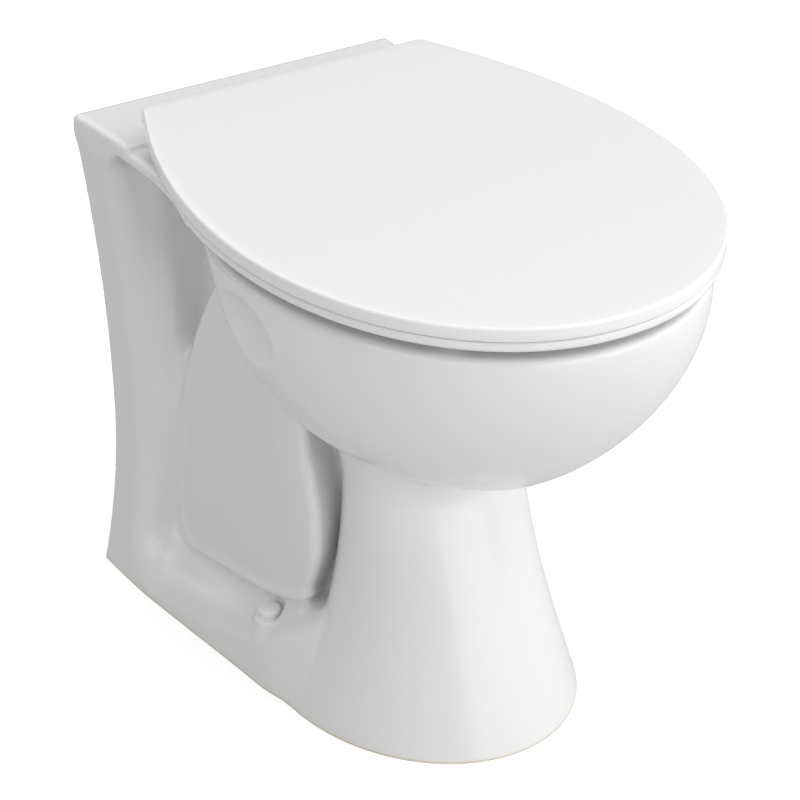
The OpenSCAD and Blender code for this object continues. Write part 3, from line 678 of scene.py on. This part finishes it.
SLOPE = math.radians(0.8)
DEPTH = 527
LID_RISE = 11.3
LID_TOP = HINGE_Z + LID_RISE
LID_THICK = 10.3
LID_GAP = 1.2
SEAT_TOP = LID_TOP - LID_THICK - LID_GAP
SEAT_THICK = 9.0
LID_WIDEST = 297.0
LID_HALF = 178
LID_REAR, SEAT_REAR = 78.5, 82
SEAT_INSET = 1.5
HOLE_HALF, HOLE_REAR, HOLE_FRONT = 110, 186, 452
LUG_EYE = 6.0
LID_LUG_X, LID_LUG_REACH = (85, 94), 22
SEAT_LUG_X, SEAT_LUG_REACH = (61, 70), 34


def lid_nose(edge):
    """Where the level lid's front has to be for the sloping lid to reach the whole depth."""
    return HINGE_D + (DEPTH - HINGE_D - (LID_RISE - edge) * math.sin(SLOPE)) / math.cos(SLOPE)


def lid_half(d, inset, nose, seat):
    """Half width of the lid or, where seat is true, of the rounder seat under it."""
    half = LID_HALF - inset
    if d > LID_WIDEST:
        t = (d - LID_WIDEST) / (nose - inset - LID_WIDEST)
        return half * max(0.0, 1 - t ** OPENING_POWER) ** (1 / OPENING_POWER)
    back = LID_WIDEST - d
    if seat:
        seat_back, seat_power = 222, 2.2
        return half * (1 - (back / seat_back) ** seat_power) ** (1 / seat_power)
    narrowing, over, lid_power = 43, 190, 1.9
    return half - narrowing * (back / over) ** lid_power


def outline(inset, rear, nose, seat=False, corner=9.0, corner_n=8, flank_n=26, front_n=44):
    """Closed outline of the lid or the seat, drawn in by an inset, from the back round the right."""
    w = lid_half(rear + corner, inset, nose, seat)
    half = [(0.0, rear), (w * 0.35, rear), (w * 0.7, rear)]
    for i in range(corner_n + 1):
        a = math.pi / 2 * i / corner_n
        half.append((w - corner + corner * math.sin(a), rear + corner - corner * math.cos(a)))
    for i in range(1, flank_n + 1):
        d = lerp(rear + corner, LID_WIDEST, i / flank_n)
        half.append((lid_half(d, inset, nose, seat), d))
    for i in range(1, front_n):
        d = LID_WIDEST + (nose - inset - LID_WIDEST) * math.sin(math.pi / 2 * i / front_n)
        half.append((lid_half(d, inset, nose, seat), d))
    half.append((0.0, nose - inset))
    return half + [(-x, d) for x, d in half[-2:0:-1]]


def hole_outline(grow, count):
    """The seat's hole with as many points as the outline round it."""
    points = []
    for i in range(count):
        a = 2 * math.pi * i / count
        x = (HOLE_HALF + grow) * abs(math.sin(a)) ** (2 / OPENING_POWER) * (1 if math.sin(a) >= 0 else -1)
        reach = HOLE_REAR - grow - LID_WIDEST if math.cos(a) > 0 else HOLE_FRONT + grow - LID_WIDEST
        points.append((x, LID_WIDEST + reach * abs(math.cos(a)) ** (2 / OPENING_POWER)))
    return points


def on_slope(points):
    """Turns points of the level seat or lid about the hinge line onto their resting slope."""
    c, s = math.cos(SLOPE), math.sin(SLOPE)
    moved = []
    for x, d, z in points:
        out, up = d - HINGE_D, z - HINGE_Z
        moved.append((x, HINGE_D + out * c + up * s, HINGE_Z - out * s + up * c))
    return moved


def lug(x0, x1, z0, z1, reach, steps=16, chamfer=0.6):
    """A hinge lug: a round eye on the hinge line with a tongue that reaches forward."""
    profile = [(HINGE_D + reach, z1)]
    for i in range(steps + 1):
        a = math.pi / 2 + math.pi * i / steps
        z = HINGE_Z + LUG_EYE * math.sin(a)
        profile.append((HINGE_D + LUG_EYE * math.cos(a), min(max(z, z0), z1)))
    profile.append((HINGE_D + reach, z0))
    rows = []
    for x, shrink in ((x0, chamfer), (x0 + chamfer, 0.0), (x1 - chamfer, 0.0), (x1, chamfer)):
        row = []
        for d, z in profile:
            away = math.hypot(d - HINGE_D, z - HINGE_Z) or 1
            keep = 1 - shrink / away
            row.append((x, HINGE_D + (d - HINGE_D) * keep, HINGE_Z + (z - HINGE_Z) * keep))
        rows.append(row)
    return loft(rows)


def mirrored(part):
    points, faces = part
    return [(-x, d, z) for x, d, z in points], [tuple(reversed(face)) for face in faces]


def edge_rows(radius, steps, inset, height, over, up):
    """Insets and heights along a quarter-round edge."""
    rows = []
    for i in range(steps + 1):
        a = math.pi / 2 * i / steps
        rows.append((inset + radius * (1 - math.cos(a)) * over, height + radius * math.sin(a) * up))
    return rows


# ---- Settings -------------------------------------------------------------------------------

class ToiletFinishes(bpy.types.PropertyGroup):
    glaze_colour: bpy.props.FloatVectorProperty(
        name="Glaze", description="Colour of the glaze", subtype="COLOR", min=0, max=1,
        default=(0.80, 0.80, 0.795))
    glaze_roughness: bpy.props.FloatProperty(
        name="Glaze roughness", description="Roughness of the glaze", default=0.2, min=0, max=1,
        subtype="FACTOR")
    clay_colour: bpy.props.FloatVectorProperty(
        name="Clay", description="Colour of the bare clay under the foot", subtype="COLOR", min=0, max=1,
        default=(0.66, 0.60, 0.51))
    bare_height: bpy.props.FloatProperty(
        name="Bare edge", description="Height of the unglazed edge above the floor", default=0.0016,
        min=0, max=0.01, unit="LENGTH")
    seat_colour: bpy.props.FloatVectorProperty(
        name="Seat", description="Colour of the seat and the lid", subtype="COLOR", min=0, max=1,
        default=(0.82, 0.82, 0.82))
    seat_roughness: bpy.props.FloatProperty(
        name="Seat roughness", description="Roughness of the seat and the lid", default=0.16, min=0, max=1,
        subtype="FACTOR")
    fitting_colour: bpy.props.FloatVectorProperty(
        name="Fittings", description="Colour of the hinge posts, nuts and caps", subtype="COLOR",
        min=0, max=1, default=(0.82, 0.82, 0.815))
    buffer_colour: bpy.props.FloatVectorProperty(
        name="Buffers", description="Colour of the soft buffers", subtype="COLOR", min=0, max=1,
        default=(0.72, 0.72, 0.70))
    rubber_colour: bpy.props.FloatVectorProperty(
        name="Rubber", description="Colour of the gaskets, bushes and seal", subtype="COLOR",
        min=0, max=1, default=(0.10, 0.10, 0.098))
    steel_colour: bpy.props.FloatVectorProperty(
        name="Steel", description="Colour of the bolts and pins", subtype="COLOR", min=0, max=1,
        default=(0.62, 0.61, 0.60))


class ToiletDetail(bpy.types.PropertyGroup):
    pan_cell: bpy.props.FloatProperty(
        name="Pan detail", description="Size of the pan's mesh faces", default=0.0026,
        min=0.0015, max=0.01, unit="LENGTH")
    seat_edge: bpy.props.FloatProperty(
        name="Seat edge", description="Rounding of the seat's and the lid's edges", default=0.0022,
        min=0.001, max=0.003, unit="LENGTH")


class ToiletStudio(bpy.types.PropertyGroup):
    ambient: bpy.props.FloatProperty(
        name="Ambient", description="Strength of the even light from all round", default=0.10, min=0, max=2)
    key_power: bpy.props.FloatProperty(
        name="Key light", description="Power of the large lamp at the front right", default=24.0,
        min=0, max=200, unit="POWER")
    top_power: bpy.props.FloatProperty(
        name="Top light", description="Power of the lamp overhead", default=32.0,
        min=0, max=200, unit="POWER")
    left_power: bpy.props.FloatProperty(
        name="Left light", description="Power of the soft lamp at the front left", default=26.0,
        min=0, max=200, unit="POWER")
    right_power: bpy.props.FloatProperty(
        name="Right light", description="Power of the soft lamp at the right", default=25.0,
        min=0, max=200, unit="POWER")
    front_power: bpy.props.FloatProperty(
        name="Front light", description="Power of the low lamp in front", default=32.0,
        min=0, max=200, unit="POWER")
    rear_power: bpy.props.FloatProperty(
        name="Rear light", description="Power of the lamp above and behind", default=32.0,
        min=0, max=200, unit="POWER")
    floor_colour: bpy.props.FloatVectorProperty(
        name="Floor", description="Colour of the floor", subtype="COLOR", min=0, max=1,
        default=(0.6, 0.6, 0.6))
    floor_glow: bpy.props.FloatProperty(
        name="Floor glow", description="White added where the camera sees the floor", default=0.57,
        min=0, max=2)


# ---- Operators ------------------------------------------------------------------------------

SETTLE_ROUNDS = 3
GRID_X, GRID_D, GRID_Z = 176, 526, 406
CAP_SEGMENTS = 48
POST_BEVEL, METAL_BEVEL, GASKET_BEVEL = 0.0006, 0.0004, 0.0003
BUFFER_BEVEL, CAP_BASE_BEVEL, SEAL_BEVEL = 0.0008, 0.0002, 0.0006
CAMERA_AT = (-1.06071, -1.64285, 1.34421)
CAMERA_TURN, CAMERA_TILT = math.radians(-32.55), math.radians(29.61)
CAMERA_LENS, CAMERA_SENSOR = 135.54, 36.0
CAMERA_SHIFT_X, CAMERA_SHIFT_Y = -0.0021, 0.0009
LAMP_TARGET = (0, -0.05, 0.2)
FLOOR_HALF = 2.6


def finish_of(name):
    """The finish with that name, made on first use."""
    if name not in bpy.data.materials:
        settings = bpy.context.scene.toilet_finishes
        if name == "Glazed ceramic":
            return glaze(settings)
        if name == "Seat plastic":
            return plastic(name, settings.seat_colour, settings.seat_roughness)
        if name == "Fitting plastic":
            return plastic(name, settings.fitting_colour, 0.33, 900.0, 0.08)
        if name == "Buffer plastic":
            return plastic(name, settings.buffer_colour, 0.5, 1100.0, 0.15)
        if name == "Rubber":
            return rubber(settings)
        if name == "Brushed steel":
            return brushed_steel(settings)
    return bpy.data.materials[name]


def dress(nodes, finish, bevel):
    """Gives solids of the frame their finish and softly rounded edges."""
    for name in nodes:
        piece = frame["nodes"][name]
        piece.data.materials.clear()
        piece.data.materials.append(finish_of(finish))
        for face in piece.data.polygons:
            face.use_smooth = True
        if bevel:
            add_modifier(piece, "BEVEL", width=bevel, segments=3, limit_method="ANGLE",
                         angle_limit=math.radians(35), harden_normals=True, use_clamp_overlap=True)


class TOILET_OT_pan(bpy.types.Operator):
    """Builds the ceramic pan with its fillets, hollows and waterways"""
    bl_idname = "toilet.pan"
    bl_label = "Pan"

    def execute(self, context):
        cell = context.scene.toilet_detail.pan_cell / MM
        x = np.arange(0, GRID_X + cell, cell)
        d = np.arange(-2 * cell, GRID_D + 2 * cell, cell)
        z = np.arange(-2 * cell, GRID_Z + 2 * cell, cell)
        half = pan_field(x[:, None, None], d[None, :, None], z[None, None, :])
        whole = np.concatenate([half[:0:-1], half])
        points, faces = surface_net(whole, (-x[-1], d[0], z[0]), cell)
        points = settle(points, pan_field, SETTLE_ROUNDS)
        piece = mesh_object("ceramic_pan", to_frame(points), faces[:, ::-1], finish_of("Glazed ceramic"))
        stand_on_floor(piece.data)
        place(piece, "pan_body", "glazed_ceramic", "pan")
        return {"FINISHED"}


class TOILET_OT_lid(bpy.types.Operator):
    """Builds the lid: a flat plate with a rounded edge, a lip underneath and two hinge lugs"""
    bl_idname = "toilet.lid"
    bl_label = "Lid"

    def execute(self, context):
        e = context.scene.toilet_detail.seat_edge / MM
        nose = lid_nose(e)
        low = LID_TOP - LID_THICK
        # Insets at the flanks and the rear, and height, from the hollow underside to the top
        rows = [(6.0, 19.0, LID_TOP - 5.5), (5.0, 18.0, low + 0.5), (4.6, 17.6, low)]
        rows += [(i, i, z) for i, z in reversed(edge_rows(e / 2, 3, 0, low + e / 2, 1, -1))]
        rows += [(i, i, z) for i, z in edge_rows(e, 6, 0, LID_TOP - e, 1, 1)]
        rows += [(e + 9, e + 9, LID_TOP), (e + 40, e + 40, LID_TOP)]
        rings = []
        for inset, rear, z in rows:
            rings.append([(x, d, z) for x, d in outline(inset, LID_REAR + rear, nose)])
        body = loft(rings)
        lug_part = lug(*LID_LUG_X, low - 0.5, HINGE_Z + LUG_EYE, LID_LUG_REACH)
        points, faces = merge(body, lug_part, mirrored(lug_part))
        piece = mesh_object("seat_lid", to_frame(on_slope(points)), faces, finish_of("Seat plastic"))
        place(piece, "lid_body", "seat_plastic", "lid")
        return {"FINISHED"}


class TOILET_OT_seat_ring(bpy.types.Operator):
    """Builds the seat ring with its rounded edges, hole and two hinge lugs"""
    bl_idname = "toilet.seat_ring"
    bl_label = "Seat ring"

    def execute(self, context):
        e = context.scene.toilet_detail.seat_edge / MM
        nose = lid_nose(e)
        low = SEAT_TOP - SEAT_THICK
        under_r, under_stretch = 4.5, 1.7
        outer = [(i, z) for i, z in reversed(edge_rows(under_r, 5, 0, low + under_r, under_stretch, -1))]
        outer += edge_rows(e, 5, 0, SEAT_TOP - e, 1, 1)
        count = len(outline(0, SEAT_REAR, nose))
        rows = []
        for inset, z in outer:
            ring = outline(SEAT_INSET + inset, SEAT_REAR + inset, nose, seat=True)
            rows.append([(x, d, z) for x, d in ring])
        turns = [math.pi / 2 * k / 6 for k in range(7)]
        inner = [(2 * e * (1 - math.sin(a)), SEAT_TOP - 2 * e * (1 - math.cos(a))) for a in turns]
        inner += [(0, low + e / 2), (e * 0.15, low + e * 0.15), (e / 2, low)]
        rows += [[(x, d, z) for x, d in hole_outline(grow, count)] for grow, z in inner]
        lug_part = lug(*SEAT_LUG_X, HINGE_Z - LUG_EYE, SEAT_TOP - 0.4, SEAT_LUG_REACH)
        points, faces = merge(loft(rows, closed=True), lug_part, mirrored(lug_part))
        points = to_frame(on_slope(points))
        piece = mesh_object("seat_ring_moulding", points, faces, finish_of("Seat plastic"))
        place(piece, "seat_body", "seat_plastic", "seat_ring")
        return {"FINISHED"}


class TOILET_OT_hinges(bpy.types.Operator):
    """Finishes the hinge posts, pins, gaskets and the seat fixings under the shelf"""
    bl_idname = "toilet.hinges"
    bl_label = "Hinges and seat fixings"

    def execute(self, context):
        for side in ("left", "right"):
            white = [f"hinge_post_{side}", f"fixing_washer_{side}", f"wing_nut_{side}"]
            dress(white, "Fitting plastic", POST_BEVEL)
            dress([f"hinge_pin_{side}", f"fixing_bolt_{side}"], "Brushed steel", METAL_BEVEL)
            dress([f"post_gasket_{side}", f"cone_bush_{side}"], "Rubber", GASKET_BEVEL)
        return {"FINISHED"}


class TOILET_OT_buffers(bpy.types.Operator):
    """Finishes the soft buffers under the seat and the lid"""
    bl_idname = "toilet.buffers"
    bl_label = "Buffers"

    def execute(self, context):
        dress(["seat_buffers_front", "seat_buffers_rear", "lid_buffers"], "Buffer plastic", BUFFER_BEVEL)
        return {"FINISHED"}


class TOILET_OT_screw_caps(bpy.types.Operator):
    """Builds the round caps over the floor screws and finishes their bases"""
    bl_idname = "toilet.screw_caps"
    bl_label = "Screw caps"

    def execute(self, context):
        for side in ("left", "right"):
            low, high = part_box(f"screw_cap_{side}")
            radius = (high.x - low.x) / 2 / MM
            height = (high.z - low.z) / MM
            centre = ((low.x + high.x) / 2 / MM, (WALL_Y - (low.y + high.y) / 2) / MM, low.z / MM)
            crown, edge_r, steps = 2.6, 2.2, 6
            profile = [(radius - 1.4, 0.6), (radius - 1.2, 0.0), (radius - 0.2, 0.0), (radius, 0.3),
                       (radius, height - crown)]
            for i in range(1, steps + 1):
                a = math.pi / 2 * i / steps
                profile.append((radius - edge_r * (1 - math.cos(a)), height - crown + edge_r * math.sin(a)))
            profile += [(radius * 0.5, height - 0.1), (0.4, height)]
            points, faces = turned(profile, CAP_SEGMENTS, centre)
            finish = finish_of("Fitting plastic")
            piece = mesh_object(f"screw_cap_dome_{side}", to_frame(points), faces, finish)
            place(piece, "pan_body", "hinge_plastic", f"screw_cap_{side}")
        dress(["cap_base_left", "cap_base_right"], "Fitting plastic", CAP_BASE_BEVEL)
        return {"FINISHED"}


class TOILET_OT_inlet_seal(bpy.types.Operator):
    """Finishes the rubber seal in the flush inlet"""
    bl_idname = "toilet.inlet_seal"
    bl_label = "Inlet seal"

    def execute(self, context):
        dress(["inlet_seal"], "Rubber", SEAL_BEVEL)
        return {"FINISHED"}


class TOILET_OT_studio(bpy.types.Operator):
    """Sets the pale floor, the soft light and the camera"""
    bl_idname = "toilet.studio"
    bl_label = "Studio"

    def execute(self, context):
        scene = context.scene
        settings = scene.toilet_studio
        scene.view_settings.view_transform = "Standard"

        camera = bpy.data.objects.new("Camera", bpy.data.cameras.new("Camera"))
        turn, tilt = CAMERA_TURN, CAMERA_TILT
        back = Vector((math.sin(turn) * math.cos(tilt), -math.cos(turn) * math.cos(tilt), math.sin(tilt)))
        camera.location = CAMERA_AT
        camera.rotation_euler = (-back).to_track_quat("-Z", "Y").to_euler()
        camera.data.sensor_width = CAMERA_SENSOR
        camera.data.lens = CAMERA_LENS
        camera.data.shift_x = CAMERA_SHIFT_X
        camera.data.shift_y = CAMERA_SHIFT_Y
        camera.data.clip_start = 0.05
        scene.collection.objects.link(camera)
        scene.camera = camera

        world = bpy.data.worlds.new("Studio")
        scene.world = world
        f = Finish(world)
        soft = f.node("ShaderNodeBackground", None, {"Color": WHITE, "Strength": settings.ambient})
        white = f.node("ShaderNodeBackground", None, {"Color": WHITE, "Strength": 1.0})
        f.finish(f.node("ShaderNodeMixShader", None, {0: seen_directly(f), 1: soft, 2: white}))

        add_lamp("Key lamp", (1.5, -1.6, 1.7), LAMP_TARGET, (2.8, 2.8), settings.key_power)
        add_lamp("Top lamp", (0.2, -0.2, 2.6), (0, 0, 0.2), (3.0, 3.0), settings.top_power)
        add_lamp("Left lamp", (-2.3, -1.0, 1.4), LAMP_TARGET, (2.6, 2.4), settings.left_power)
        add_lamp("Right lamp", (2.4, -0.6, 1.1), LAMP_TARGET, (2.8, 2.0), settings.right_power)
        add_lamp("Front lamp", (0.6, -2.6, 1.0), LAMP_TARGET, (2.8, 1.8), settings.front_power)
        add_lamp("Rear lamp", (-0.4, 1.8, 2.4), (0, -0.05, 0.3), (3.2, 3.2), settings.rear_power)

        floor = bpy.data.materials.new("Floor")
        f = Finish(floor)
        grain = f.noise(3.0, 2.0)
        colour = f.mix(grain, shade(settings.floor_colour, 0.99), opaque(settings.floor_colour))
        matt = f.node("ShaderNodeBsdfDiffuse", None, {"Color": colour})
        glow = f.node("ShaderNodeEmission", None, {"Color": WHITE, "Strength": settings.floor_glow})
        lit = f.node("ShaderNodeAddShader", None, {0: matt, 1: glow})
        f.finish(f.node("ShaderNodeMixShader", None, {0: seen_directly(f), 1: matt, 2: lit}))
        corners = [(x * FLOOR_HALF, y * FLOOR_HALF, 0) for x, y in ((-1, -1), (1, -1), (1, 1), (-1, 1))]
        ground = mesh_object("Floor", corners, [(0, 1, 2, 3)], floor, smooth=False)
        return {"FINISHED"}


def seen_directly(f):
    """One for rays from the camera, also through clear pieces, and zero for the others."""
    path = [f.node("ShaderNodeLightPath", output=name) for name in ("Is Camera Ray", "Is Transmission Ray")]
    return (path[0] + path[1]).clamped()


def add_lamp(name, location, target, size, power):
    lamp = bpy.data.lights.new(name, "AREA")
    lamp.shape = "RECTANGLE"
    lamp.size, lamp.size_y = size
    lamp.energy = power
    piece = bpy.data.objects.new(name, lamp)
    piece.location = location
    piece.rotation_euler = (Vector(target) - Vector(location)).to_track_quat("-Z", "Y").to_euler()
    bpy.context.scene.collection.objects.link(piece)


class TOILET_PT_parts(bpy.types.Panel):
    """Lists the parts of the toilet and their settings"""
    bl_idname = "TOILET_PT_parts"
    bl_label = "Back to wall toilet"
    bl_space_type = "VIEW_3D"
    bl_region_type = "UI"
    bl_category = "Toilet"

    def draw(self, context):
        for operator in OPERATORS:
            self.layout.operator(operator.bl_idname)
        for name in GROUPS:
            group = getattr(context.scene, name)
            box = self.layout.box()
            for key in group.__annotations__:
                box.prop(group, key)


OPERATORS = (TOILET_OT_studio, TOILET_OT_pan, TOILET_OT_seat_ring, TOILET_OT_lid, TOILET_OT_hinges,
             TOILET_OT_buffers, TOILET_OT_screw_caps, TOILET_OT_inlet_seal)
GROUPS = {"toilet_finishes": ToiletFinishes, "toilet_detail": ToiletDetail, "toilet_studio": ToiletStudio}


def register():
    for cls in (*GROUPS.values(), *OPERATORS, TOILET_PT_parts):
        bpy.utils.register_class(cls)
    for key, group in GROUPS.items():
        setattr(bpy.types.Scene, key, bpy.props.PointerProperty(type=group))


def unregister():
    for key in GROUPS:
        delattr(bpy.types.Scene, key)
    for cls in (TOILET_PT_parts, *reversed(OPERATORS), *reversed(GROUPS.values())):
        bpy.utils.unregister_class(cls)


def main():
    register()
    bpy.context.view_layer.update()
    for operator in OPERATORS:
        group, name = operator.bl_idname.split(".")
        getattr(getattr(bpy.ops, group), name)()


if __name__ == "__main__":
    main()
